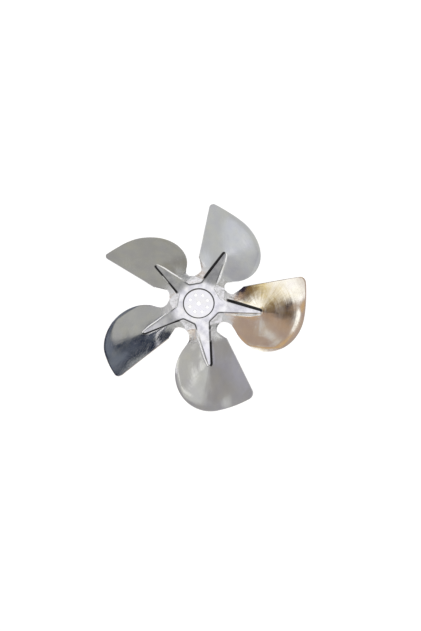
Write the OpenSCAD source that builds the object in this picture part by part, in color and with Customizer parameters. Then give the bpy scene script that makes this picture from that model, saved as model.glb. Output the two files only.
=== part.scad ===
// Axial fan blade pressed from one aluminium sheet, for a small shaded-pole motor.
// The axis is Z, and the origin is the middle of the round seat's floor, on its upper face.
// The first blade's stiffening arm lies at first_arm_angle, and the others follow anticlockwise.

/* [Fan] */
// Diameter of the circle that the blade tips reach
fan_d = 254; // [230:2:280]
// Direction of the first blade's arm, seen from above
first_arm_angle = 64; // [0:1:360]
// Thickness of the sheet
sheet_t = 1.2; // [0.8:0.1:1.6]

/* [Motor mount] */
// Centre hole that clears the motor shaft
shaft_hole_d = 5.2; // [4:0.1:8]
// Circle through the screw holes
bolt_circle_d = 22.6; // [19:0.2:26]
// Screw hole, clearance for a 3.5 mm screw
bolt_hole_d = 3.6; // [3:0.1:5.5]
// Number of screw holes
bolt_count = 8; // [4:1:8]
// Direction of the first screw hole
first_bolt_angle = 20; // [0:1:360]
// Round seat pressed into the hub for the motor's adapter
seat_d = 38; // [34:0.2:40]
// Depth of the seat below the hub star
seat_depth = 1.2; // [0.8:0.1:3]
// Width of the seat's sloped wall
seat_wall_w = 0.9; // [0.5:0.1:1.5]

/* [Hub star] */
// Distance from the axis to the star's straight sides between two arms
star_side_r = 25; // [23:0.2:27]
// Width of an arm where it leaves the hub
arm_root_w = 16.4; // [12:0.2:18]
// Width of an arm at its tip
arm_tip_w = 2.8; // [2:0.2:4]
// Distance from the axis to an arm's tip
arm_reach = 75; // [65:1:85]
// Width of the sloped wall round the star
wall_w = 1.7; // [1:0.1:2.5]
// Drop from the star to the sheet between two arms
star_step = 1.2; // [0.6:0.1:2]
// Length along an arm over which that drop fades out
step_fade = 5; // [3:0.5:8]

/* [Blade outline] */
// Distance from the axis to the bottom of the round notch between two blades
neck_r = 36.2; // [33:0.2:40]
// Radius of the round notch
notch_r = 10.9; // [9:0.1:12]
// How far the notch lies behind an arm, as an angle
notch_angle = 38.2; // [37:0.2:40]
// Distance from the axis to the line of the straight edge
edge_offset = 11.3; // [9:0.1:14]
// Angle between the straight edge and the arm
edge_angle = 14; // [11:0.5:17]
// Radius of the tip's corner
tip_r = 7; // [3:0.5:9]
// Radius of the shoulder between the straight edge and the notch
shoulder_r = 3; // [2:0.5:5]

/* [Blade shape] */
// Pitch of the blade near the hub, in degrees
pitch_root_angle = 28; // [20:0.5:36]
// Pitch of the blade at its outer edge, in degrees
pitch_tip_angle = 32; // [20:0.5:36]
// Angle between the arm and the line that the blade is turned about
pitch_lead_angle = 3.7; // [0:0.1:6]
// Distance from the axis at which the pitch begins
twist_start = 30; // [28:1:34]
// Length over which most of the pitch builds up
twist_run = 11; // [8:1:16]
// Radius of the camber across the blade
camber_r = 250; // [180:10:500]
// Depth of the dish pressed into the middle of the blade
cup_depth = 2.3; // [0:0.1:4]

/* [Smoothness] */
// Rings of facets between the star and the blade's edge
sheet_rings = 7; // [5:1:8]
// Facets along the lobe
lobe_steps = 14; // [10:1:16]

/* [Hidden] */
$fn = 96;

// The outline is laid out for this number of blades
blade_count = 5;
fan_r = fan_d / 2;
sector = 360 / blade_count;

// Round notch behind the arm, and the same notch of the next blade ahead of it
notch_c = polar(neck_r + notch_r, -notch_angle);
next_notch_c = polar(neck_r + notch_r, sector - notch_angle);

// The lobe is the arc that leaves the notch and meets the fan's circle smoothly
lobe_sum = fan_r + notch_r;
lobe_x = (lobe_sum ^ 2 - norm(notch_c) ^ 2) / (2 * (lobe_sum - notch_c.x));
lobe_c = [lobe_x, 0];
lobe_r = fan_r - lobe_x;

// Directions along the straight edge and square to it
edge_dir = polar(1, edge_angle);
edge_out = polar(1, edge_angle + 90);

// Tip corner, tangent to the straight edge and to the fan's circle
tip_h = edge_offset - tip_r;
tip_along = sqrt((fan_r - tip_r) ^ 2 - tip_h ^ 2);
tip_c = tip_along * edge_dir + tip_h * edge_out;

// Shoulder, tangent to the straight edge and to the next notch
shoulder_h = edge_offset - shoulder_r;
shoulder_along = next_notch_c * edge_dir
    + sqrt((notch_r + shoulder_r) ^ 2 - (next_notch_c * edge_out - shoulder_h) ^ 2);
shoulder_c = shoulder_along * edge_dir + shoulder_h * edge_out;

// Numbers of facets along each stretch of half a blade
notch_steps = 5;
side_steps = 3;
half_steps = notch_steps + lobe_steps;
arm_steps = half_steps - side_steps - 1;
tip_steps = 3;
shoulder_steps = 2;
outer_steps = 4;
edge_steps = half_steps - outer_steps - tip_steps - shoulder_steps - notch_steps;
rails = 2 * half_steps;

// The flat flange round the seat overlaps the pressed sheet between two shares of its width
flange_share = [0.3, 0.55];
flange_foot_r = seat_d / 2 + seat_wall_w;
flange_in_r = mix(flange_foot_r, star_side_r, flange_share[0]);
flange_out_r = mix(flange_foot_r, star_side_r, flange_share[1]);

function polar(r, angle) = [r * cos(angle), r * sin(angle)];
function turn(p, angle) = [p.x * cos(angle) - p.y * sin(angle), p.x * sin(angle) + p.y * cos(angle)];
function heading(p) = atan2(p.y, p.x);
function mix(a, b, t) = a + (b - a) * t;

// Points of an arc and of a straight run, each without its last point
function arc(c, r, from, to, steps) = [for (i = [0:steps - 1]) c + polar(r, mix(from, to, i / steps))];
function run(a, b, steps) = [for (i = [0:steps - 1]) mix(a, b, i / steps)];

// Outline of one blade from the bottom of its notch to the bottom of the next notch
function blade_outline() = concat(
    arc(notch_c, notch_r, 180 - notch_angle, heading(lobe_c - notch_c), notch_steps),
    arc(lobe_c, lobe_r, heading(lobe_c - notch_c) + 180, 360, lobe_steps),
    arc([0, 0], fan_r, 0, heading(tip_c), outer_steps),
    arc(tip_c, tip_r, heading(tip_c), edge_angle + 90, tip_steps),
    run(tip_c + tip_r * edge_out, shoulder_c + shoulder_r * edge_out, edge_steps),
    arc(shoulder_c, shoulder_r, edge_angle + 90, heading(next_notch_c - shoulder_c), shoulder_steps),
    arc(
        next_notch_c, notch_r,
        heading(shoulder_c - next_notch_c) + 360, 180 + sector - notch_angle, notch_steps
    )
);

// Half the star's outline, grown by w, from the middle of a side to the arm's tip
function arm_half_w(x, w) = w + mix(arm_root_w, arm_tip_w, (x - star_side_r) / (arm_reach - star_side_r)) / 2;
function half_star(w) =
    let (
        side_r = star_side_r + w,
        taper = (arm_root_w - arm_tip_w) / 2 / (arm_reach - star_side_r),
        c = cos(sector / 2),
        s = sin(sector / 2),
        corner_x = (side_r - s * arm_half_w(0, w)) / (c - s * taper),
        corner = [corner_x, arm_half_w(corner_x, w)],
        end_x = arm_reach - arm_tip_w / 2,
        end = [end_x, arm_half_w(end_x, w)]
    )
    concat(
        run(polar(side_r, sector / 2), corner, side_steps),
        run(corner, end, arm_steps),
        [end, [arm_reach + w, 0]]
    );
function mirrored(points) = [for (p = points) [p.x, -p.y]];
function reversed(points) = [for (i = [len(points) - 1:-1:0]) points[i]];
function star_outline(w) =
    let (half = half_star(w))
    concat(mirrored(half), [for (i = [len(half) - 2:-1:1]) half[i]]);

// Height of the blade's upper face over a point given from the arm
function ramp(a) = a <= twist_start ? 0 : 1 - exp((twist_start - a) / twist_run);
function pitch(a) = mix(pitch_root_angle, pitch_tip_angle, (a - twist_start) / (fan_r - twist_start));
cup_mid = (twist_start + fan_r) / 2;
cup_half = (fan_r - twist_start) / 2;
cup_ahead = edge_offset / cos(edge_angle) + cup_mid * tan(edge_angle);
function bowl(t) = max(0, 1 - t ^ 2);
function cup(a, b) = cup_depth * bowl((a - cup_mid) / cup_half)
    * bowl((b - (cup_ahead - lobe_r) / 2) / ((cup_ahead + lobe_r) / 2));
function sheet_z(p) =
    let (q = turn(p, -pitch_lead_angle))
    ramp(q.x) * (q.y * tan(pitch(q.x)) + q.y ^ 2 / (2 * camber_r)) - cup(q.x, q.y);

// The star lies level across each arm, at the blade's height on the arm's line
function star_z(p) = sheet_z([p.x, 0]);

// Upper point on a rail of a blade: ring 0 is the star's edge and ring 1 the foot of its wall
function step_z(p, t) = star_step * (1 - t) ^ 2 * exp((star_side_r - norm(p)) / step_fade);
function rail_point(star, foot, outer, ring) =
    ring == 0
    ? [star.x, star.y, star_z(star)]
    : let (t = (ring - 1) / sheet_rings, p = mix(foot, outer, t))
    [p.x, p.y, sheet_z(p) - step_z(p, t)];

module fan_blade() {
    color("silver")
    difference() {
        union() {
            translate([0, 0, seat_depth]) pressed_sheet();
            hub_disc();
        }
        hub_hole(shaft_hole_d);
        for (i = [0:bolt_count - 1])
            rotate(first_bolt_angle + i * 360 / bolt_count)
                translate([bolt_circle_d / 2, 0, 0]) hub_hole(bolt_hole_d);
    }
}

// A round hole through the seat's floor
module hub_hole(d) {
    cylinder(h = 4 * sheet_t, d = d, center = true);
}

// Flat hub with the round seat, turned about the axis
module hub_disc() {
    seat_r = seat_d / 2;
    rotate_extrude()
        polygon([
            [0, 0],
            [seat_r - seat_wall_w, 0],
            [seat_r, seat_depth],
            [flange_out_r, seat_depth],
            [flange_out_r, seat_depth - sheet_t],
            [flange_foot_r, seat_depth - sheet_t],
            [seat_r, -sheet_t],
            [0, -sheet_t]
        ]);
}

// The blades, their arms and the sheet between them, as one sheet of even thickness
module pressed_sheet() {
    star = star_outline(0);
    foot = star_outline(wall_w);
    outer = blade_outline();
    one_blade = [
        for (ring = [0:sheet_rings + 1])
            [for (i = [0:rails - 1]) rail_point(star[i], foot[i], outer[i], ring)]
    ];
    upper = [
        for (ring = one_blade)
            [for (k = [0:blade_count - 1], p = ring) concat(turn(p, first_arm_angle + k * sector), p.z)]
    ];
    around = len(upper[0]);
    rings = len(upper);
    lower = [for (r = [0:rings - 1]) [for (i = [0:around - 1]) below(upper, r, i)]];
    hub_z = [0, -sheet_t];
    hub_index = [for (i = [0:around - 1]) if (is_hub(i)) i];
    hub_count = len(hub_index);
    hub = [for (z = hub_z) [for (i = hub_index) concat(polar(flange_in_r, heading(upper[0][i])), z)]];
    points = concat([for (ring = upper) each ring], [for (ring = lower) each ring], hub[0], hub[1]);
    lower_at = rings * around;
    hub_at = 2 * lower_at;
    quads = concat(
        [
            for (r = [0:rings - 2], i = [0:around - 1])
                let (a = r * around + i, b = r * around + (i + 1) % around)
                    [a, b, b + around, a + around]
        ],
        [
            for (k = [0:blade_count - 1], i = [side_steps:half_steps - 1])
                let (a = k * rails + i, b = k * rails + rails - i)
                    i == half_steps - 1 ? [a, b, a + 1] : [a, b, b - 1, a + 1]
        ],
        [
            for (j = [0:hub_count - 1])
                let (n = (j + 1) % hub_count)
                    [hub_at + j, hub_at + n, hub_index[n], hub_index[j]]
        ]
    );
    rim = [
        for (i = [0:around - 1])
            let (a = (rings - 1) * around + i, b = (rings - 1) * around + (i + 1) % around)
                [a, b, b + lower_at, a + lower_at]
    ];
    inner_rim = [
        for (j = [0:hub_count - 1])
            let (a = hub_at + j, b = hub_at + (j + 1) % hub_count)
                [a, a + hub_count, b + hub_count, b]
    ];
    faces = concat(
        [for (q = quads) each split(q)],
        [for (q = quads) each split([for (i = reversed(q)) i < hub_at ? i + lower_at : i + hub_count])],
        [for (q = rim) each split(q)],
        [for (q = inner_rim) each split(q)]
    );
    polyhedron(points, faces, convexity = 8);
}

// A point of the star's edge that belongs to the hub rather than to an arm
function is_hub(i) = let (j = i % rails) j <= side_steps || j >= rails - side_steps;
function split(q) = len(q) == 3 ? [q] : [[q[0], q[1], q[2]], [q[0], q[2], q[3]]];

// Lower face: straight down under the star, square to the sheet elsewhere
function below(upper, r, i) =
    let (
        around = len(upper[0]),
        last = len(upper) - 1,
        along = upper[r][(i + 1) % around] - upper[r][(i + around - 1) % around],
        out = upper[min(r + 1, last)][i] - upper[max(r - 1, 1)][i],
        square = cross(out, along)
    )
    upper[r][i] - sheet_t * (r == 0 ? [0, 0, 1] : square / norm(square));

fan_blade();
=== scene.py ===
"""Looks of the pressed aluminium fan blade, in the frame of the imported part."""

import math

import bpy
import numpy as np
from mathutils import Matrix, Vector
from mathutils.geometry import delaunay_2d_cdt


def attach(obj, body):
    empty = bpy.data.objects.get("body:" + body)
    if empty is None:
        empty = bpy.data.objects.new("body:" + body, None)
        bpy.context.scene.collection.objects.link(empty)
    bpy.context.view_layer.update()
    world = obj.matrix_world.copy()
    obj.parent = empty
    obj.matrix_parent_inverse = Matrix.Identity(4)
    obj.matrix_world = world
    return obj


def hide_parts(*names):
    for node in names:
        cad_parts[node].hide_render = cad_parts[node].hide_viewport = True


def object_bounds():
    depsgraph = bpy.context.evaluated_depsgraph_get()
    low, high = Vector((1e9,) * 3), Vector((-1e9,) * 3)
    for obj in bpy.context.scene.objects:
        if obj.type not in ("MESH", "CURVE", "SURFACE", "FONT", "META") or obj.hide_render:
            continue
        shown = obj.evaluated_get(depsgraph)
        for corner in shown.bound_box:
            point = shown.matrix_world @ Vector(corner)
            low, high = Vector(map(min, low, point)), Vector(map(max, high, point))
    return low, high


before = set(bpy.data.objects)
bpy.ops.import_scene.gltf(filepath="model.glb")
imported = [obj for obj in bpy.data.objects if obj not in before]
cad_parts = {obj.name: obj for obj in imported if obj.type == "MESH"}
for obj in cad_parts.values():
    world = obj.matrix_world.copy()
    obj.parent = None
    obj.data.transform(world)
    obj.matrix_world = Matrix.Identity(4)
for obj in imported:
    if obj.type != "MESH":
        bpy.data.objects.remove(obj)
cad_lo, cad_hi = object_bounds()

MM = 0.001
D2R = math.pi / 180

# The driving sizes of the part's source, in millimetres and degrees
BLADES = 5
SECTOR = 360 / BLADES
FAN_R, FIRST_ARM, SHEET_T = 127.0, 64.0, 1.2
SHAFT_R, BOLT_CIRCLE_R, BOLT_R, BOLTS, FIRST_BOLT = 2.6, 11.3, 1.8, 8, 20.0
SEAT_R, SEAT_DEPTH, SEAT_WALL = 19.0, 1.2, 0.9
SIDE_R, ROOT_W, TIP_W, REACH, WALL_W = 25.0, 16.4, 2.8, 75.0, 1.7
STAR_STEP, STEP_FADE = 1.2, 5.0
NECK_R, NOTCH_R, NOTCH_ANGLE = 36.2, 10.9, 38.2
EDGE_OFFSET, EDGE_ANGLE, TIP_R, SHOULDER_R = 11.3, 14.0, 7.0, 3.0
PITCH_ROOT, PITCH_TIP, PITCH_LEAD = 28.0, 32.0, 3.7
TWIST_START, TWIST_RUN, CAMBER_R, CUP_DEPTH = 30.0, 11.0, 250.0, 2.3

# Soft forms of the pressing, at most as deep as the sheet is thick. In a pair, the first
# number is where a form starts or ends, and the second the length over which it does.
# The bulge inside the blade's rim, and the droop of the outer rim
RIM_BULGE, RIM_RUN, RIM_REACH, OUTER_BULGE = 0.65, 10.0, 60.0, 0.8
BULGE_OUTWARD, BULGE_FROM_WALL, BULGE_AHEAD = (90, 25), 16.0, (26, 24)
RIM_DROOP, DROOP_RUN, DROOP_AHEAD, DROOP_OUTWARD = 0.9, 26.0, (2, 18), (60, 20)
# The dish round the arm's tip, and the rolled shoulder ahead of the arm
DISH_DEPTH, DISH_AT, DISH_R = 0.8, 77.0, 8.0
ROLL_DROP, ROLL_RUN, ROLL_AT, ROLL_HALF = 0.7, 3.0, 60.0, 20.0
# The wider foot of the wall behind the arm
FOOT_EXTRA, FOOT_START, FOOT_END = 1.3, (30, 8), (76, 12)
# Lengths over which the blade and the arm start to slope, and over which the step fades
BLADE_ONSET, ARM_ONSET, STEP_REACH = 0.01, 8.0, 14.0
# Rounding of the walls and of the cup's start, as shares of their width and depth, and of
# the arm's root
WALL_ROUND, SEAT_ROUND, CUP_ROUND, ROOT_ROUND = 0.3, 0.35, 0.3, 1.2
# The seat's formula holds this far inside the star's sides
SEAT_MARGIN = 2.0


def polar(r, angle):
    return np.array([r * math.cos(angle * D2R), r * math.sin(angle * D2R)])


def heading(p):
    return math.degrees(math.atan2(p[1], p[0]))


def turned(x, y, angle):
    """A place turned round the axis."""
    c, s = math.cos(angle * D2R), math.sin(angle * D2R)
    return x * c - y * s, x * s + y * c


def from_arm(x, y, k):
    """A place seen from arm k, in the part's own frame."""
    return turned(x, y, FIRST_ARM + SECTOR * k)


# Centres of the outline's arcs, seen from one blade's arm
notch_c = polar(NECK_R + NOTCH_R, -NOTCH_ANGLE)
next_notch_c = polar(NECK_R + NOTCH_R, SECTOR - NOTCH_ANGLE)
lobe_sum = FAN_R + NOTCH_R
lobe_x = (lobe_sum**2 - notch_c @ notch_c) / (2 * (lobe_sum - notch_c[0]))
lobe_c = np.array([lobe_x, 0.0])
lobe_r = FAN_R - lobe_x
edge_dir = polar(1, EDGE_ANGLE)
edge_out = polar(1, EDGE_ANGLE + 90)
tip_h = EDGE_OFFSET - TIP_R
tip_c = math.sqrt((FAN_R - TIP_R) ** 2 - tip_h**2) * edge_dir + tip_h * edge_out
shoulder_h = EDGE_OFFSET - SHOULDER_R
shoulder_along = next_notch_c @ edge_dir + math.sqrt(
    (NOTCH_R + SHOULDER_R) ** 2 - (next_notch_c @ edge_out - shoulder_h) ** 2
)
shoulder_c = shoulder_along * edge_dir + shoulder_h * edge_out


# Height of the sheet
def smooth(t):
    """0 below 0 and 1 above 1, with a soft start and a soft end."""
    t = np.clip(t, 0, 1)
    return t * t * (3 - 2 * t)


def rise(v, start, run):
    """0 up to start, and 1 from a run further on."""
    return smooth((v - start) / run)


def fall(v, stop, run):
    """1 until a run before stop, and 0 from stop on."""
    return smooth((stop - v) / run)


def band(v, low, high, soft):
    """1 between low and high, fading over soft at both ends."""
    return smooth((v - low) / soft + 0.5) * smooth((high - v) / soft + 0.5)


def rounded_start(t, s):
    """0 below 0 and t above it, with the corner rounded over s on both sides."""
    return np.where(t <= -s, 0, np.where(t >= s, t, (t + s) ** 2 / (4 * s)))


def clamp_ramp(t, s):
    """0 below 0 and 1 above 1, with both corners rounded over s."""
    return rounded_start(t, s) - rounded_start(t - 1, s)


def bowl(t):
    return np.maximum(0, 1 - t * t)


def soft_bowl(t):
    """The bowl with its start rounded, so that the arm leaves the hub without a crease."""
    u = 1 - t * t
    start = np.maximum(u + CUP_ROUND, 0) ** 2 / (4 * CUP_ROUND)
    return np.where((t < 0) & (u < CUP_ROUND), start, np.maximum(u, 0))


def sheet_z(x, y, onset):
    """Height of the blade over a point given from its arm, its twist starting over the onset."""
    a, b = turned(x, y, -PITCH_LEAD)
    ramp = 1 - np.exp(-rounded_start(a - TWIST_START, onset) / TWIST_RUN)
    pitch = PITCH_ROOT + (PITCH_TIP - PITCH_ROOT) * (a - TWIST_START) / (FAN_R - TWIST_START)
    cup_mid, cup_half = (TWIST_START + FAN_R) / 2, (FAN_R - TWIST_START) / 2
    ahead = EDGE_OFFSET / math.cos(EDGE_ANGLE * D2R) + cup_mid * math.tan(EDGE_ANGLE * D2R)
    across = (b - (ahead - lobe_r) / 2) / ((ahead + lobe_r) / 2)
    cup = CUP_DEPTH * soft_bowl((a - cup_mid) / cup_half) * bowl(across)
    return ramp * (b * np.tan(pitch * D2R) + b * b / (2 * CAMBER_R)) - cup


def arm_half_w(x):
    return (ROOT_W + (TIP_W - ROOT_W) * (x - SIDE_R) / (REACH - SIDE_R)) / 2


def star_distance(x, y):
    """Distance outside the hub star, seen from the nearest arm, its inner corners rounded."""
    hub = x * math.cos(SECTOR / 2 * D2R) + np.abs(y) * math.sin(SECTOR / 2 * D2R) - SIDE_R
    end = REACH - TIP_W / 2
    beside = np.abs(y) - arm_half_w(np.minimum(x, end))
    beyond = np.hypot(x - end, y) - arm_half_w(end)
    arm = np.where(x < end, beside, beyond)
    h = np.maximum(ROOT_ROUND - np.abs(hub - arm), 0) / ROOT_ROUND
    return np.minimum(hub, arm) - h * h * ROOT_ROUND / 4


def rim_form(x, y, d):
    """Bulge inside the blade's rim, less the droop of the outer rim."""
    from_lobe, from_circle = lobe_r - np.hypot(x - lobe_x, y), FAN_R - np.hypot(x, y)
    inside = np.clip(np.where(y < 0, from_lobe, from_circle), 0, RIM_REACH)
    bulge = RIM_BULGE * (1 + OUTER_BULGE * rise(x, *BULGE_OUTWARD))
    bulge = bulge * inside / RIM_RUN * np.exp(1 - inside / RIM_RUN)
    bulge = bulge * rise(d, WALL_W, BULGE_FROM_WALL) * fall(y, *BULGE_AHEAD)
    droop = RIM_DROOP * np.clip(1 - inside / DROOP_RUN, 0, 1) ** 2
    return bulge - droop * rise(y, *DROOP_AHEAD) * rise(x, *DROOP_OUTWARD)


def arm_form(x, y, d):
    """Depth of the dish round the arm's tip and of the rolled shoulder ahead of the arm."""
    dish = DISH_DEPTH * np.exp(-((x - DISH_AT) ** 2 + y * y) / (2 * DISH_R**2))
    along = bowl((x - ROLL_AT) / ROLL_HALF) ** 2
    roll = ROLL_DROP * np.exp(-np.maximum(d - WALL_W, 0) / ROLL_RUN) * along
    return dish + np.where(y > 0, roll, 0)


def upper_z(x, y):
    """Height of the upper face over a point given from its arm, its folds rounded."""
    r = np.hypot(x, y)
    d = star_distance(x, y)
    foot = np.where(y < 0, FOOT_EXTRA * rise(x, *FOOT_START) * fall(x, *FOOT_END), 0)
    wall = clamp_ramp(d / (WALL_W + foot), WALL_ROUND)
    fade = np.where(d < WALL_W, 1, np.clip(1 - (d - WALL_W) / STEP_REACH, 0, 1) ** 2)
    step = STAR_STEP * np.exp((SIDE_R - r) / STEP_FADE) * fade
    star = sheet_z(x, 0 * y, ARM_ONSET)
    blade = sheet_z(x, y, BLADE_ONSET) - step
    z = star + (blade - star) * wall + rim_form(x, y, d) - arm_form(x, y, d) * wall + SEAT_DEPTH
    seat = SEAT_DEPTH * clamp_ramp((r - (SEAT_R - SEAT_WALL)) / SEAT_WALL, SEAT_ROUND)
    return np.where(r < SIDE_R - SEAT_MARGIN, seat, z)


def normals(x, y, h):
    """Directions square to the upper face, from its slope over a distance h."""
    zx = (upper_z(x + h, y) - upper_z(x - h, y)) / (2 * h)
    zy = (upper_z(x, y + h) - upper_z(x, y - h)) / (2 * h)
    n = np.stack([-zx, -zy, np.ones_like(zx)], -1)
    return n / np.linalg.norm(n, axis=-1, keepdims=True)


# Plan of one blade, seen from its arm. Half of the star's outline has 3 rails along the
# hub's side, 15 along the arm and 1 round its tip
HUB_T, ARM_T, HALF_T = 3, 18, 19
STEPS = 4  # fine rails to each of these
HALF = HALF_T * STEPS
RAILS = 2 * HALF
# Distances of the rings from the star's outline, and the rings from there to the rim
WALL_RINGS = [-0.5, -0.2, 0.0, 0.2, 0.5, 0.85, 1.2, 1.5, 1.8, 2.2, 2.6, 3.0, 3.5]
BLADE_STEPS, EVEN_SHARE = 32, 0.6
EDGE_R = 0.35  # rounding of the blade's rim
NORMAL_STEP = 0.8


def star_point(t, side, w):
    """Point of the star's outline grown by w, from a side's middle (t 0) to the arm's tip (t 19)."""
    half = SECTOR / 2 * D2R
    c, s = math.cos(half), math.sin(half)
    taper = (ROOT_W - TIP_W) / 2 / (REACH - SIDE_R)
    side_r = SIDE_R + w
    corner_x = (side_r - s * (arm_half_w(0) + w)) / (c - s * taper)
    corner = np.array([corner_x, arm_half_w(corner_x) + w])
    mid = side_r * np.array([c, s])
    end_x = REACH - TIP_W / 2
    tip_w = TIP_W / 2 + w
    if t <= HUB_T:
        p = mid + (corner - mid) * t / HUB_T
    elif t <= ARM_T:
        p = corner + (np.array([end_x, tip_w]) - corner) * (t - HUB_T) / (ARM_T - HUB_T)
    else:
        a = (1 - (t - ARM_T) / (HALF_T - ARM_T)) * 90 * D2R
        p = np.array([end_x + tip_w * math.cos(a), tip_w * math.sin(a)])
    return np.array([p[0], p[1] * side])


def arc(centre, r, start, stop, t):
    """Point at the share t of an arc between two directions."""
    return centre + polar(r, start + (stop - start) * t)


def outline_stretches():
    """The blade's outline from the notch behind it to the next one: rails and points of each stretch."""
    square = EDGE_ANGLE + 90
    to_lobe, to_tip = heading(lobe_c - notch_c), heading(tip_c)
    to_notch = heading(next_notch_c - shoulder_c)
    from_notch = heading(shoulder_c - next_notch_c) + 360
    edge_start, edge_end = tip_c + TIP_R * edge_out, shoulder_c + SHOULDER_R * edge_out
    return (
        (5, lambda t: arc(notch_c, NOTCH_R, 180 - NOTCH_ANGLE, to_lobe, t)),
        (14, lambda t: arc(lobe_c, lobe_r, to_lobe + 180, 360, t)),
        (4, lambda t: polar(FAN_R, to_tip * t)),
        (3, lambda t: arc(tip_c, TIP_R, to_tip, square, t)),
        (5, lambda t: edge_start + (edge_end - edge_start) * t),
        (2, lambda t: arc(shoulder_c, SHOULDER_R, square, to_notch, t)),
        (5, lambda t: arc(next_notch_c, NOTCH_R, from_notch, 180 + SECTOR - NOTCH_ANGLE, t)),
    )


def blade_outline():
    points = []
    for rails, place in outline_stretches():
        points += [place(j / (rails * STEPS)) for j in range(rails * STEPS)]
    return np.array(points + [place(1.0)])


def out_of(outline):
    """Directions square to the outline, out of the blade."""
    behind = np.vstack([turned(*outline[-2], -SECTOR), outline[:-2]])
    along = outline[1:] - behind
    along /= np.linalg.norm(along, axis=1, keepdims=True)
    return np.stack([along[:, 1], -along[:, 0]], 1)


def blade_rings(outline, outward):
    """Rings of points from just inside the star's outline to the blade's rim."""
    rails = [(min(j, RAILS - j) / STEPS, -1 if j < HALF else 1) for j in range(RAILS)]
    rings = [np.array([star_point(t, side, w) for t, side in rails]) for w in WALL_RINGS]
    foot, rim = rings[-1], outline[:-1] - outward * EDGE_R
    for i in range(1, BLADE_STEPS):
        f = i / BLADE_STEPS
        f = EVEN_SHARE * f + (1 - EVEN_SHARE) / 2 * (1 - math.cos(math.pi * f))
        rings.append(foot + (rim - foot) * f)
    return rings + [rim]


outline = blade_outline()
rim_out = out_of(outline)
rings = blade_rings(outline, rim_out)


# The sheet's two faces
def surface_points(plan, k):
    """Upper and lower points over plan points given from arm k, and the directions between them."""
    x, y = plan[:, 0], plan[:, 1]
    n = normals(x, y, NORMAL_STEP)
    top = np.stack([*from_arm(x, y, k), upper_z(x, y)], 1)
    normal = np.stack([*from_arm(n[:, 0], n[:, 1], k), n[:, 2]], 1)
    return top, top - normal * SHEET_T, normal


class Sheet:
    """Vertices of the upper and the lower face in pairs, and the faces over them."""

    def __init__(self):
        self.upper, self.lower, self.faces, self.places = [], [], [], {}

    def at(self, top):
        """The pair at a place, or None."""
        return self.places.get(tuple(np.round(top, 4)))

    def add(self, top, bottom):
        if self.at(top) is None:
            self.places[tuple(np.round(top, 4))] = len(self.upper)
            self.upper.append(top)
            self.lower.append(bottom)
        return self.at(top)

    def add_row(self, plan, k):
        """Pairs over plan points given from arm k."""
        top, bottom, _ = surface_points(np.array(plan), k)
        return [self.add(t, b) for t, b in zip(top, bottom)]

    def face(self, *ids):
        """A face of both sides, without its repeated corners."""
        ids = [v for i, v in enumerate(ids) if v != ids[i - 1]]
        if len(ids) > 2:
            self.faces.append(ids)

    def strip(self, a, b):
        """Faces between two rows."""
        for i in range(len(a) - 1):
            self.face(a[i], b[i], b[i + 1], a[i + 1])


ARM_ACROSS = 5  # faces from the arm's middle to its edge
HUB_STEPS = 4  # faces from the star's outline to the seat's shoulder
ARM_START, ARM_STOP = HUB_T * STEPS, ARM_T * STEPS
SEAT_RINGS = [20.3, 19.8, 19.45, 19.25, 19.05, 18.85, 18.65, 18.45, 18.25, 18.05, 17.85, 17.6, 17.2]


def arm_row(p):
    """Points across the arm, from p to the same place on its other edge."""
    return [np.array([p[0], p[1] * (1 - i / ARM_ACROSS)]) for i in range(2 * ARM_ACROSS + 1)]


def lay_blade(sheet, k):
    """The sheet from arm k's edge to the blade's rim, as a row of pairs for each ring."""
    rows = [sheet.add_row(plan, k) for plan in rings]
    for a, b in zip(rows, rows[1:]):
        sheet.strip(a, b)
    return rows


def lay_arm(sheet, k, edge):
    """The arm's level floor inside its edge."""
    rows = [sheet.add_row(arm_row(rings[0][j]), k) for j in range(ARM_START, ARM_STOP + 1)]
    for a, b in zip(rows, rows[1:]):
        sheet.strip(a, b)
    last = rows[-1]
    nose = edge[ARM_STOP : RAILS - ARM_STOP + 1]
    for a, b in zip(nose[1:-1], nose[2:-1]):
        sheet.face(last[ARM_ACROSS], a, b)
    for i in range(ARM_ACROSS):
        sheet.face(last[i + 1], last[i], nose[1])
        sheet.face(last[ARM_ACROSS + i], nose[-2], last[ARM_ACROSS + i + 1])


def lay_hub(sheet):
    """The hub from the star's outline over the seat's wall to its floor, whose rim it gives back."""
    inner = rings[0]
    border = [*inner[:ARM_START], *arm_row(inner[ARM_START]), *inner[RAILS - ARM_START + 1 :]]
    spokes = []
    for k in range(BLADES):
        for p in border:
            shoulder = polar(SEAT_RINGS[0], heading(p))
            line = [p + (shoulder - p) * i / HUB_STEPS for i in range(HUB_STEPS)]
            spokes.append(sheet.add_row(line + [polar(r, heading(p)) for r in SEAT_RINGS], k))
    for a, b in zip(spokes, spokes[1:] + spokes[:1]):
        for i in range(len(a) - 1):
            sheet.face(a[i + 1], a[i], b[i], b[i + 1])
    return [spoke[-1] for spoke in spokes]


# The seat's flat floor with its holes: points round each hole, the chamfer of its edge, a
# second ring of points this far out, and the room that the floor's other points leave
AROUND, HOLE_EDGE, HOLE_SUPPORT, HOLE_ROOM = 40, 0.15, 0.2, 0.7
FLOOR_RINGS = ((6.3, 24), (8.0, 24), (14.6, 44), (15.9, 60))
HOLES = [(np.zeros(2), SHAFT_R)]
HOLES += [(polar(BOLT_CIRCLE_R, FIRST_BOLT + i * 360 / BOLTS), BOLT_R) for i in range(BOLTS)]


def circle(centre, r, count, shift=0.0):
    return [centre + polar(r, (i + shift) * 360 / count) for i in range(count)]


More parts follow.
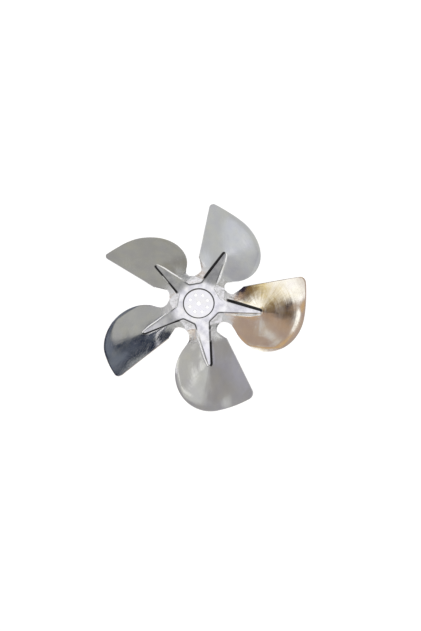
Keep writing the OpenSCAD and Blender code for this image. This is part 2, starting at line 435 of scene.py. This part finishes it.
def floor_points(rim):
    """Points of the seat's floor, and the loops of the rim and the holes among them."""
    points = rim[:]
    loops = [list(range(len(points)))]
    for centre, r in HOLES:
        loops.append(list(range(len(points), len(points) + AROUND))[::-1])
        points += circle(centre, r + HOLE_EDGE, AROUND)
    for centre, r in HOLES:
        points += circle(centre, r + HOLE_EDGE + HOLE_SUPPORT, AROUND, 0.5)
    for ring_r, count in FLOOR_RINGS:
        for p in circle(np.zeros(2), ring_r, count):
            if all(math.hypot(*(p - centre)) > r + HOLE_ROOM for centre, r in HOLES):
                points.append(p)
    return points, loops


def in_hole(p):
    inner = math.cos(math.pi / AROUND)
    return any(math.hypot(*(p - centre)) < (r + HOLE_EDGE) * inner for centre, r in HOLES)


def lay_floor(sheet, rim):
    """The seat's flat floor inside the rim, with its holes left open."""
    points, loops = floor_points([sheet.upper[i][:2] for i in rim])
    edges = [(loop[i - 1], loop[i]) for loop in loops for i in range(len(loop))]
    places = [Vector(p) for p in points]
    verts, _, triangles, origin, _, _ = delaunay_2d_cdt(places, edges, [], 0, 1e-5)
    ids = []
    for v, sources in zip(verts, origin):
        if sources and sources[0] < len(rim):
            ids.append(rim[sources[0]])
        else:
            ids.append(sheet.add(np.array([*v, 0.0]), np.array([*v, -SHEET_T])))
    for corners in triangles:
        a, b, c = (np.array(verts[i]) for i in corners)
        middle = (a + b + c) / 3
        if in_hole(middle) or math.hypot(*middle) > SEAT_RINGS[-1]:
            continue
        if (b[0] - a[0]) * (c[1] - a[1]) - (b[1] - a[1]) * (c[0] - a[0]) < 0:
            corners = corners[::-1]
        sheet.face(*[ids[i] for i in corners])


# The closed mesh
class Shell:
    """Both faces of the sheet, and the rims that join them."""

    def __init__(self, sheet):
        self.count = len(sheet.upper)
        self.points = sheet.upper + sheet.lower
        self.faces = []
        for ids in sheet.faces:
            self.faces += [ids, [i + self.count for i in reversed(ids)]]

    def add(self, ring):
        first = len(self.points)
        self.points += list(ring)
        return list(range(first, len(self.points)))

    def close(self, top, between):
        """Joins a loop of the upper face to the lower one, over the rings between."""
        rows = [top, *between, [i + self.count for i in top]]
        for a, b in zip(rows, rows[1:]):
            for j in range(len(top)):
                n = (j + 1) % len(top)
                self.faces.append([a[j], b[j], b[n], a[n]])


def close_rim(shell, loop):
    """The rounded rim round the blades."""
    out, normal = [], []
    for k in range(BLADES):
        square = surface_points(rings[-1], k)[2]
        flat = np.stack([*from_arm(rim_out[:, 0], rim_out[:, 1], k), 0 * rim_out[:, 0]], 1)
        level = flat - square * (flat * square).sum(1, keepdims=True)
        out.append(level / np.linalg.norm(level, axis=1, keepdims=True))
        normal.append(square)
    out, normal = np.concatenate(out), np.concatenate(normal)
    top = np.array(shell.points)[loop]
    between = []
    for angle, lower in ((45, False), (90, False), (90, True), (45, True)):
        c, s = math.cos(angle * D2R), math.sin(angle * D2R)
        depth = SHEET_T - EDGE_R * (1 - c) if lower else EDGE_R * (1 - c)
        between.append(shell.add(top + out * EDGE_R * s - normal * depth))
    shell.close(loop, between)


def close_holes(shell, sheet):
    """The holes' walls, with a small chamfer above and below."""
    for centre, r in HOLES:
        top = [sheet.at(np.array([*p, 0.0])) for p in circle(centre, r + HOLE_EDGE, AROUND)]
        between = []
        for z in (-HOLE_EDGE, -SHEET_T + HOLE_EDGE):
            between.append(shell.add([np.array([*p, z]) for p in circle(centre, r, AROUND)])[::-1])
        shell.close(top[::-1], between)


def pressed_blade():
    """The whole blade as one closed mesh: its points and faces."""
    sheet = Sheet()
    blades = []
    for k in range(BLADES):
        blades.append(lay_blade(sheet, k))
        lay_arm(sheet, k, blades[-1][0])
    for rows, following in zip(blades, blades[1:] + blades[:1]):
        for r in range(len(rows) - 1):
            sheet.face(rows[r][-1], rows[r + 1][-1], following[r + 1][0], following[r][0])
    lay_floor(sheet, lay_hub(sheet))
    shell = Shell(sheet)
    close_rim(shell, [i for rows in blades for i in rows[-1]])
    close_holes(shell, sheet)
    return np.array(shell.points), shell.faces


SHARP_FROM = math.radians(40)
points, faces = pressed_blade()
mesh = bpy.data.meshes.new("pressed_blade")
mesh.from_pydata((points * MM).tolist(), [], faces)
mesh.validate()
mesh.update()
mesh.shade_smooth()
mesh.set_sharp_from_angle(angle=SHARP_FROM)
blade = bpy.data.objects.new("pressed_blade", mesh)
bpy.context.scene.collection.objects.link(blade)
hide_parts("fan_blade")
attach(blade, "root")

# Painted shade on the steep walls of the folds. Stretches along each arm's leading wall, as
# (from, to, width, strength), the stretch along its trailing wall, as (from, to, strength),
# and the strength along the hub's side that follows it
LEADING = {
    0: [(31, 78, 2.4, 1.0)],
    1: [(58, 78, 2.5, 1.0), (44, 60, 1.7, 0.8), (28, 46, 2.3, 1.0)],
    2: [(30, 78, 2.1, 1.0)],
    3: [(48, 78, 2.5, 1.0), (36, 50, 1.5, 0.7), (30, 35, 2.0, 0.9)],
    4: [(33, 78, 2.6, 1.0)],
}
TRAILING = {0: (33, 60, 0.7), 2: (27, 34, 0.9), 3: (52, 72, 0.5), 4: (28, 72, 0.7)}
HUB_SIDES = {0: 0.8, 2: 0.9, 3: 0.8}
# Where these lines start and end across the wall, and how softly along it
LINE_SOFT, LEADING_SOFT, TRAILING_SOFT = 0.5, 3.0, 4.0
LEADING_FROM, TRAILING_ACROSS, SIDE_ACROSS, SIDE_END = -0.5, (-0.4, 0.8), (-0.4, 1.2), (34, 4)
SHADE_FROM = SIDE_R - 1
# Painted shade in a ring on the seat's wall
RING_STRENGTH, RING_FROM, RING_TO = 0.85, SEAT_R - SEAT_WALL - 0.2, SEAT_R + 0.3
# Where the crumpled sheet, the star and the blades start or end, from the axis and from
# the star's outline, as pairs like those of the soft forms
SKIRT_END, SKIRT_EDGE = (54, 16), (0, 1.5)
STAR_START, STAR_EDGE = (SEAT_R, 1.0), (0.75, 1.5)
BLADE_START, BLADE_EDGE = (36, 12), (1.5, 4)
BLADE_SHIFT = 10.0  # keeps the fine marks of two blades apart


def arm_frame(p):
    """The blade's number, and a point's place seen from its arm."""
    r = np.hypot(p[:, 0], p[:, 1])
    angle = np.degrees(np.arctan2(p[:, 1], p[:, 0])) - FIRST_ARM
    k = np.floor((angle + NOTCH_ANGLE) / SECTOR)
    a = (angle - k * SECTOR) * D2R
    return k.astype(int) % BLADES, r * np.cos(a), r * np.sin(a)


def painted_wall_shade(p):
    """How much painted shade lies on the sheet's steep walls, from 0 to 1."""
    k, x, y = arm_frame(p)
    r = np.hypot(x, y)
    d = star_distance(x, y)
    shade = RING_STRENGTH * band(r, RING_FROM, RING_TO, LINE_SOFT)

    def draw(where, line):
        return np.where(where & (r > SHADE_FROM), np.maximum(shade, line), shade)

    for arm in range(BLADES):
        mine = k == arm
        for low, high, width, strength in LEADING[arm]:
            line = strength * band(x, low, high, LEADING_SOFT) * band(d, LEADING_FROM, width, LINE_SOFT)
            shade = draw(mine & (y > 0), line)
        if arm in TRAILING:
            low, high, strength = TRAILING[arm]
            line = strength * band(x, low, high, TRAILING_SOFT) * band(d, *TRAILING_ACROSS, LINE_SOFT)
            shade = draw(mine & (y < 0), line)
        if arm in HUB_SIDES:
            line = HUB_SIDES[arm] * band(d, *SIDE_ACROSS, LINE_SOFT) * fall(x, *SIDE_END)
            shade = draw(mine & (y > 0), line)
            shade = np.where((k == (arm + 1) % BLADES) & (y < 0), np.maximum(shade, line), shade)
    return shade


def skirt(p):
    """1 on the crumpled sheet between the arms' roots, 0 on the blades and the star."""
    _, x, y = arm_frame(p)
    return fall(np.hypot(x, y), *SKIRT_END) * rise(star_distance(x, y), *SKIRT_EDGE)


def star_area(p):
    """1 on the star outside its seat, 0 elsewhere."""
    _, x, y = arm_frame(p)
    return rise(np.hypot(x, y), *STAR_START) * fall(star_distance(x, y), *STAR_EDGE)


def blade_area(p):
    """1 on the blades, 0 on the star and near the hub."""
    _, x, y = arm_frame(p)
    return rise(np.hypot(x, y), *BLADE_START) * rise(star_distance(x, y), *BLADE_EDGE)


def press_place(p):
    """Angle and distance round the arm's tip, and the blade's number, for the press's fine marks."""
    k, x, y = arm_frame(p)
    return np.stack([np.arctan2(y, x - REACH), np.hypot(x - REACH, y), k * BLADE_SHIFT], 1)


def add_attribute(mesh, name, kind, values):
    field = {"FLOAT": "value", "FLOAT_VECTOR": "vector", "FLOAT_COLOR": "color"}[kind]
    flat = np.ascontiguousarray(values, dtype=np.float32).ravel()
    mesh.attributes.new(name, kind, "POINT").data.foreach_set(field, flat)


# Painted shade of the steep walls and of the seat's wall, as an attribute
add_attribute(mesh, "painted_shade", "FLOAT", painted_wall_shade(points))
add_attribute(mesh, "skirt", "FLOAT", skirt(points))
add_attribute(mesh, "star_area", "FLOAT", star_area(points))
add_attribute(mesh, "blade_area", "FLOAT", blade_area(points))
add_attribute(mesh, "press_place", "FLOAT_VECTOR", press_place(points))


# Material
class Graph:
    """Short calls to build a node tree."""

    def __init__(self, name):
        self.material = bpy.data.materials.new(name)
        self.material.use_nodes = True
        self.nodes = self.material.node_tree.nodes
        self.links = self.material.node_tree.links

    def node(self, kind, inputs=None, **settings):
        node = self.nodes.new(kind)
        for key, value in settings.items():
            setattr(node, key, value)
        for key, value in (inputs or {}).items():
            self.feed(node.inputs[key], value)
        return node

    def feed(self, socket, value):
        if isinstance(value, bpy.types.NodeSocket):
            self.links.new(value, socket)
        else:
            socket.default_value = value

    def math(self, operation, a, b=0.0):
        return self.node("ShaderNodeMath", {0: a, 1: b}, operation=operation).outputs[0]

    def times(self, a, b):
        return self.math("MULTIPLY", a, b)

    def noise(self, vector, scale, detail=2.0):
        inputs = {"Vector": vector, "Scale": scale, "Detail": detail}
        return self.node("ShaderNodeTexNoise", inputs).outputs["Fac"]

    def stretched(self, vector, scale):
        return self.node("ShaderNodeMapping", {"Vector": vector, "Scale": scale}).outputs[0]

    def ramp(self, value, low, high, start=0.0, stop=1.0):
        ranges = {"Value": value, "From Min": low, "From Max": high, "To Min": start, "To Max": stop}
        return self.node("ShaderNodeMapRange", ranges).outputs[0]

    def mix(self, factor, a, b):
        node = self.node("ShaderNodeMix", data_type="RGBA")
        for socket, value in (("Factor", factor), (6, a), (7, b)):
            self.feed(node.inputs[socket], value)
        return node.outputs[2]

    def attribute(self, name, output="Fac"):
        return self.node("ShaderNodeAttribute", attribute_name=name).outputs[output]

    def bump(self, height, strength, distance, normal=None):
        node = self.node("ShaderNodeBump", {"Height": height, "Strength": strength, "Distance": distance})
        if normal is not None:
            self.links.new(normal, node.inputs["Normal"])
        return node.outputs[0]


# Colours of the sheet: its clouds, its faint patches, painted darker reflections on the star, a
# painted highlight on the crumpled sheet, the fine specks and painted shade on the steep walls
CLOUD_GREY, CLOUD_PALE = (0.75, 0.75, 0.76, 1), (0.85, 0.85, 0.85, 1)
BLUISH, YELLOWISH = (0.75, 0.74, 0.81, 1), (0.86, 0.845, 0.77, 1)
STAR_DARK_REFLECTION, SKIRT_HIGHLIGHT = (0.52, 0.52, 0.56, 1), (0.97, 0.97, 0.98, 1)
SPECK, PAINTED_SHADE = (0.70, 0.70, 0.70, 1), (0.012, 0.012, 0.014, 1)
# Waves of the noises to a metre
CLOUD_SCALE, TINT_SCALE, STAR_REFLECTION_SCALE, SMEAR_SCALE = 45.0, 70.0, 120.0, 160.0
WAVE_SCALE, FOLD_SCALE, FINE_SCALE, MOTTLE_SCALE = 60.0, 210.0, 900.0, 1600.0
# Stretch of the streaks, the rays and rings round the arm's tip, and the rolled grain
SMEAR_STRETCH, GRAIN_STRETCH = (1.0, 0.35, 1.0), (60.0, 2500.0, 60.0)
RAY_STRETCH, RING_STRETCH = (5.0, 0.015, 1.0), (0.5, 0.28, 1.0)
# Strength of each bump, and its depth in metres
WAVES, RAYS, RINGS = (0.25, 0.0005), (0.1, 0.0004), (0.12, 0.0003)
FOLDS, GRAIN = (0.6, 0.0018), (0.05, 0.00002)
# Roughness of the sheet between its streaks, and what specks, crumples and the walls with painted shade
# add
SATIN, SPECK_ROUGH, CRUMPLED_ROUGH, SHADED_WALL_ROUGH = (0.07, 0.15), 0.05, 0.28, 0.35


def sheet_colour(g, place, fine, shade):
    """Faintly clouded aluminium, with painted darker reflections on the star, a painted highlight on the
    crumpled sheet and painted shade on the steep walls.
    """
    cloud = g.noise(place, CLOUD_SCALE, 3.0)
    tint = g.noise(place, TINT_SCALE)
    # Painted darker reflections, in random patches on the star
    star_reflection = g.ramp(g.noise(place, STAR_REFLECTION_SCALE, 3.0), 0.42, 0.68)
    star_reflection = g.times(star_reflection, g.attribute("star_area"))
    colour = g.mix(g.ramp(cloud, 0.3, 0.7), CLOUD_GREY, CLOUD_PALE)
    colour = g.mix(g.ramp(tint, 0.5, 0.75, 0.0, 0.6), colour, BLUISH)
    colour = g.mix(g.ramp(tint, 0.5, 0.25, 0.0, 0.6), colour, YELLOWISH)
    # painted darker reflections on the star
    colour = g.mix(g.times(star_reflection, 0.75), colour, STAR_DARK_REFLECTION)
    # painted highlight, near white, on the crumpled sheet between the arms
    colour = g.mix(g.attribute("skirt"), colour, SKIRT_HIGHLIGHT)
    colour = g.mix(g.ramp(fine, 0.35, 0.75, 0.0, 0.25), colour, SPECK)
    # painted shade on the steep walls
    return g.mix(shade, colour, PAINTED_SHADE)


def sheet_roughness(g, place, fine, shade):
    """Satin, a little streaked, and duller on crumples and on the walls with painted shade."""
    smear = g.noise(g.stretched(place, SMEAR_STRETCH), SMEAR_SCALE, 3.0)
    rough = g.math("ADD", g.ramp(smear, 0.3, 0.7, *SATIN), g.ramp(fine, 0.4, 0.8, 0.0, SPECK_ROUGH))
    rough = g.math("ADD", rough, g.times(g.attribute("skirt"), CRUMPLED_ROUGH))
    return g.math("ADD", rough, g.times(shade, SHADED_WALL_ROUGH))


def sheet_bumps(g, place):
    """The blades' waves and the press's rays and rings, the folds between the arms, and the grain."""
    press = g.attribute("press_place", "Vector")
    blades = g.attribute("blade_area")
    rays = g.noise(g.stretched(press, RAY_STRETCH), 1.0, 3.0)
    rings = g.noise(g.stretched(press, RING_STRETCH), 1.0)
    grain = g.noise(g.stretched(place, GRAIN_STRETCH), 1.0)
    folds = g.times(g.noise(place, FOLD_SCALE), g.attribute("skirt"))
    normal = g.bump(g.times(g.noise(place, WAVE_SCALE), blades), *WAVES)
    normal = g.bump(g.times(rays, blades), *RAYS, normal)
    normal = g.bump(g.times(rings, blades), *RINGS, normal)
    normal = g.bump(folds, *FOLDS, normal)
    return g.bump(grain, *GRAIN, normal)


def satin_aluminium():
    """Rolled aluminium: bright and faintly clouded, with painted shade, painted reflections and a painted
    highlight, and the press's fine marks as bumps.
    """
    g = Graph("satin_aluminium")
    place = g.node("ShaderNodeTexCoord").outputs["Object"]
    fine = g.noise(place, FINE_SCALE)
    mottle = g.ramp(g.noise(place, MOTTLE_SCALE), 0.25, 0.75, 0.93, 1.0)
    # Painted shade of the steep walls, a little mottled
    shade = g.times(g.attribute("painted_shade"), mottle)
    shader = g.nodes["Principled BSDF"]
    shader.inputs["Metallic"].default_value = 1.0
    g.feed(shader.inputs["Base Color"], sheet_colour(g, place, fine, shade))
    g.feed(shader.inputs["Roughness"], sheet_roughness(g, place, fine, shade))
    g.feed(shader.inputs["Normal"], sheet_bumps(g, place))
    return g.material


mesh.materials.append(satin_aluminium())

# Stage and light, in metres and degrees: a dome that only reflections and light see, from
# straight up to just below the level, and a white floor that lights the blade less than
# its bright look, which is for the camera and for reflections
DOME_R, DOME_ROWS, DOME_COLUMNS, DOME_TOP, DOME_SWEEP = 20.0, 100, 240, 0.01, 97
FLOOR_R, FLOOR_SIDES, FLOOR_GAP = 0.7, 96, 0.0005
FLOOR_PAINT, FLOOR_GLOW = 0.6, 0.74
# The room round the fan as soft cards: azimuth, tilt from straight up, half width and
# half height in degrees, softness of the edge, and radiance
ROOM = (0.5, 0.5, 0.5)
CARDS = [
    # over the fan: a lamp with a grey gap beside it, a second lamp, and a bright low patch
    (75, 8, 20, 20, 0.5, (1.12, 1.11, 1.16)),
    (98, 38, 28, 8, 0.6, (0.36, 0.36, 0.36)),
    (235, 20, 20, 10, 0.7, (1.0, 1.0, 1.0)),
    (35, 86, 22, 10, 0.6, (1.1, 1.1, 1.1)),
    # top blade
    (8, 55, 40, 20, 0.8, (0.57, 0.58, 0.57)),
    (3, 48, 10, 8, 0.9, (0.68, 0.70, 0.73)),
    (31, 50, 10, 7, 0.9, (0.45, 0.45, 0.47)),
    (-2, 40, 8, 6, 0.8, (0.95, 0.95, 0.98)),
    # upper-left blade
    (77, 70, 30, 22, 0.6, (0.39, 0.385, 0.355)),
    (90, 66, 8, 7, 0.9, (0.29, 0.28, 0.25)),
    # lower-left blade: a pale window over navy
    (122, 88, 28, 26, 0.3, (0.012, 0.018, 0.04)),
    (111, 56, 21, 21.5, 0.2, (0.45, 0.45, 0.425)),
    (144, 55, 15, 9, 0.4, (0.45, 0.45, 0.43)),
    (113, 77, 6, 11, 0.5, (0.05, 0.055, 0.07)),
    (130, 79, 7, 8, 0.9, (0.17, 0.19, 0.23)),
    (126, 93, 6, 3, 0.9, (0.2, 0.22, 0.22)),
    # bottom blade
    (184, 66, 30, 16, 0.8, (0.365, 0.355, 0.36)),
    (190, 46, 26, 10, 0.8, (0.60, 0.60, 0.58)),
    (205, 38, 16, 10, 0.8, (0.52, 0.51, 0.48)),
    (188, 45, 3, 2.5, 0.9, (0.95, 0.95, 0.90)),
    (212, 35.5, 5, 2, 0.8, (0.80, 0.78, 0.75)),
    (165, 51, 7, 7, 0.8, (0.85, 0.85, 0.83)),
    (178, 62, 5, 6, 0.9, (0.35, 0.335, 0.325)),
    (184, 72, 6, 4, 0.9, (0.43, 0.42, 0.46)),
    # right blade: brown, white and dark
    (290, 28, 30, 13, 0.7, (0.46, 0.34, 0.26)),
    (276, 60, 26, 16, 0.5, (1.35, 1.3, 1.18)),
    (310, 52, 23, 20, 0.5, (0.50, 0.38, 0.30)),
    (293, 38, 6, 6, 0.8, (0.68, 0.44, 0.21)),
    (278, 45, 3.6, 6, 0.7, (1.4, 1.35, 1.2)),
    (263, 50, 6.4, 6.5, 0.5, (0.90, 0.72, 0.35)),
    (248, 42, 11.5, 14, 0.4, (0.02, 0.016, 0.035)),
    (264.5, 46, 4.2, 5.5, 0.9, (0.24, 0.15, 0.06)),
    (265, 37, 5, 5, 0.8, (0.47, 0.32, 0.21)),
    (267, 42, 2.4, 2.2, 0.9, (0.08, 0.06, 0.06)),
    (284.5, 28, 3.5, 2.5, 0.7, (0.70, 0.65, 0.59)),
]


def toward(azimuth, tilt):
    a, t = azimuth * D2R, tilt * D2R
    return np.array([math.sin(t) * math.cos(a), math.sin(t) * math.sin(a), math.cos(t)])


def room_light(d):
    """Radiance of the room in directions d, each card laid over those before it."""
    light = np.ones_like(d) * np.array(ROOM)
    for azimuth, tilt, half_w, half_h, soft, radiance in CARDS:
        middle = toward(azimuth, tilt)
        across = np.array([-math.sin(azimuth * D2R), math.cos(azimuth * D2R), 0])
        down = np.cross(across, middle)
        front = d @ middle
        u = np.degrees(np.arctan2(d @ across, front)) / half_w
        v = np.degrees(np.arctan2(d @ down, front)) / half_h
        cover = np.where(front > 0, 1 - smooth((np.hypot(u, v) - 1 + soft / 2) / soft), 0)
        light += (np.array(radiance) - light) * cover[:, None]
    return light


def grid_mesh(name, rows, columns, point):
    """A mesh of rows by columns of quads, closed round its columns."""
    verts = [point(i / rows, j / columns) for i in range(rows + 1) for j in range(columns)]
    quads = []
    for i in range(rows):
        for j in range(columns):
            n = (j + 1) % columns
            corners = ((i, j), (i, n), (i + 1, n), (i + 1, j))
            quads.append([row * columns + column for row, column in corners])
    mesh = bpy.data.meshes.new(name)
    mesh.from_pydata(verts, [], quads)
    return mesh


def add_stage(name, mesh, material):
    mesh.materials.append(material)
    thing = bpy.data.objects.new(name, mesh)
    bpy.context.scene.collection.objects.link(thing)
    return thing


def light_graph(name):
    """A graph without its plain shader, whose glow adds no lamp samples."""
    g = Graph(name)
    g.nodes.remove(g.nodes["Principled BSDF"])
    g.material.cycles.emission_sampling = "NONE"
    return g


def room_material():
    g = light_graph("room_light")
    glow = g.node("ShaderNodeEmission", {"Color": g.attribute("radiance", "Color"), "Strength": 1.0})
    g.links.new(glow.outputs[0], g.nodes["Material Output"].inputs["Surface"])
    return g.material


def floor_material():
    """White floor: part of it is lit by the room, so that it keeps the object's shadow."""
    g = light_graph("floor_white")
    path = g.node("ShaderNodeLightPath").outputs
    seen = g.math("MAXIMUM", path["Is Camera Ray"], path["Is Glossy Ray"])
    seen = g.math("MAXIMUM", seen, path["Is Transmission Ray"])
    paint = g.node("ShaderNodeBsdfDiffuse", {"Color": (FLOOR_PAINT, FLOOR_PAINT, FLOOR_PAINT, 1)})
    strength = g.times(seen, FLOOR_GLOW)
    glow = g.node("ShaderNodeEmission", {"Color": (1, 1, 1, 1), "Strength": strength})
    both = g.node("ShaderNodeAddShader", {0: paint.outputs[0], 1: glow.outputs[0]})
    g.links.new(both.outputs[0], g.nodes["Material Output"].inputs["Surface"])
    return g.material


def dome_point(v, u):
    return toward(360 * u, DOME_TOP + DOME_SWEEP * v) * DOME_R


def floor_point(v, u):
    return (*polar(FLOOR_R * v, 360 * u), cad_lo.z - FLOOR_GAP)


def add_dome():
    dome_mesh = grid_mesh("room_dome", DOME_ROWS, DOME_COLUMNS, dome_point)
    places = np.array([vert.co for vert in dome_mesh.vertices])
    radiance = room_light(places / np.linalg.norm(places, axis=1, keepdims=True))
    opaque = np.ones((len(radiance), 1))
    add_attribute(dome_mesh, "radiance", "FLOAT_COLOR", np.concatenate([radiance, opaque], 1))
    dome = add_stage("room_dome", dome_mesh, room_material())
    dome.visible_camera = False


def add_world():
    world = bpy.data.worlds.new("studio")
    bpy.context.scene.world = world
    world.use_nodes = True
    world.node_tree.nodes["Background"].inputs["Color"].default_value = (1, 1, 1, 1)


add_dome()
add_stage("floor", grid_mesh("floor", 1, FLOOR_SIDES, floor_point), floor_material())
add_world()

# Camera solved from the photograph: its lean from the axis and that lean's direction in
# radians, its distance in millimetres, and the focal length and the seat's middle in pixels
CAM_TILT, CAM_AZIMUTH, CAM_DISTANCE = 0.326229553, 4.88247543, 462.0
FOCAL_PX, WIDTH, HEIGHT = 382.35, 421, 631
AXIS_PX = (198.685, 303.051)
CLIP = (0.01, 50)


def add_camera():
    lean = math.sin(CAM_TILT)
    back = Vector((lean * math.cos(CAM_AZIMUTH), lean * math.sin(CAM_AZIMUTH), math.cos(CAM_TILT)))
    optics = bpy.data.cameras.new("camera")
    camera = bpy.data.objects.new("camera", optics)
    bpy.context.scene.collection.objects.link(camera)
    optics.lens = FOCAL_PX / HEIGHT * optics.sensor_width
    optics.clip_start, optics.clip_end = CLIP
    optics.shift_x = (WIDTH / 2 - AXIS_PX[0]) / HEIGHT
    optics.shift_y = (AXIS_PX[1] - HEIGHT / 2) / HEIGHT
    camera.rotation_mode = "QUATERNION"
    camera.rotation_quaternion = Vector((0, 0, 1)).rotation_difference(back)
    camera.location = Vector((0, 0, SEAT_DEPTH * MM)) + back * CAM_DISTANCE * MM
    bpy.context.scene.camera = camera


add_camera()
bpy.context.scene.view_settings.view_transform = "Standard"
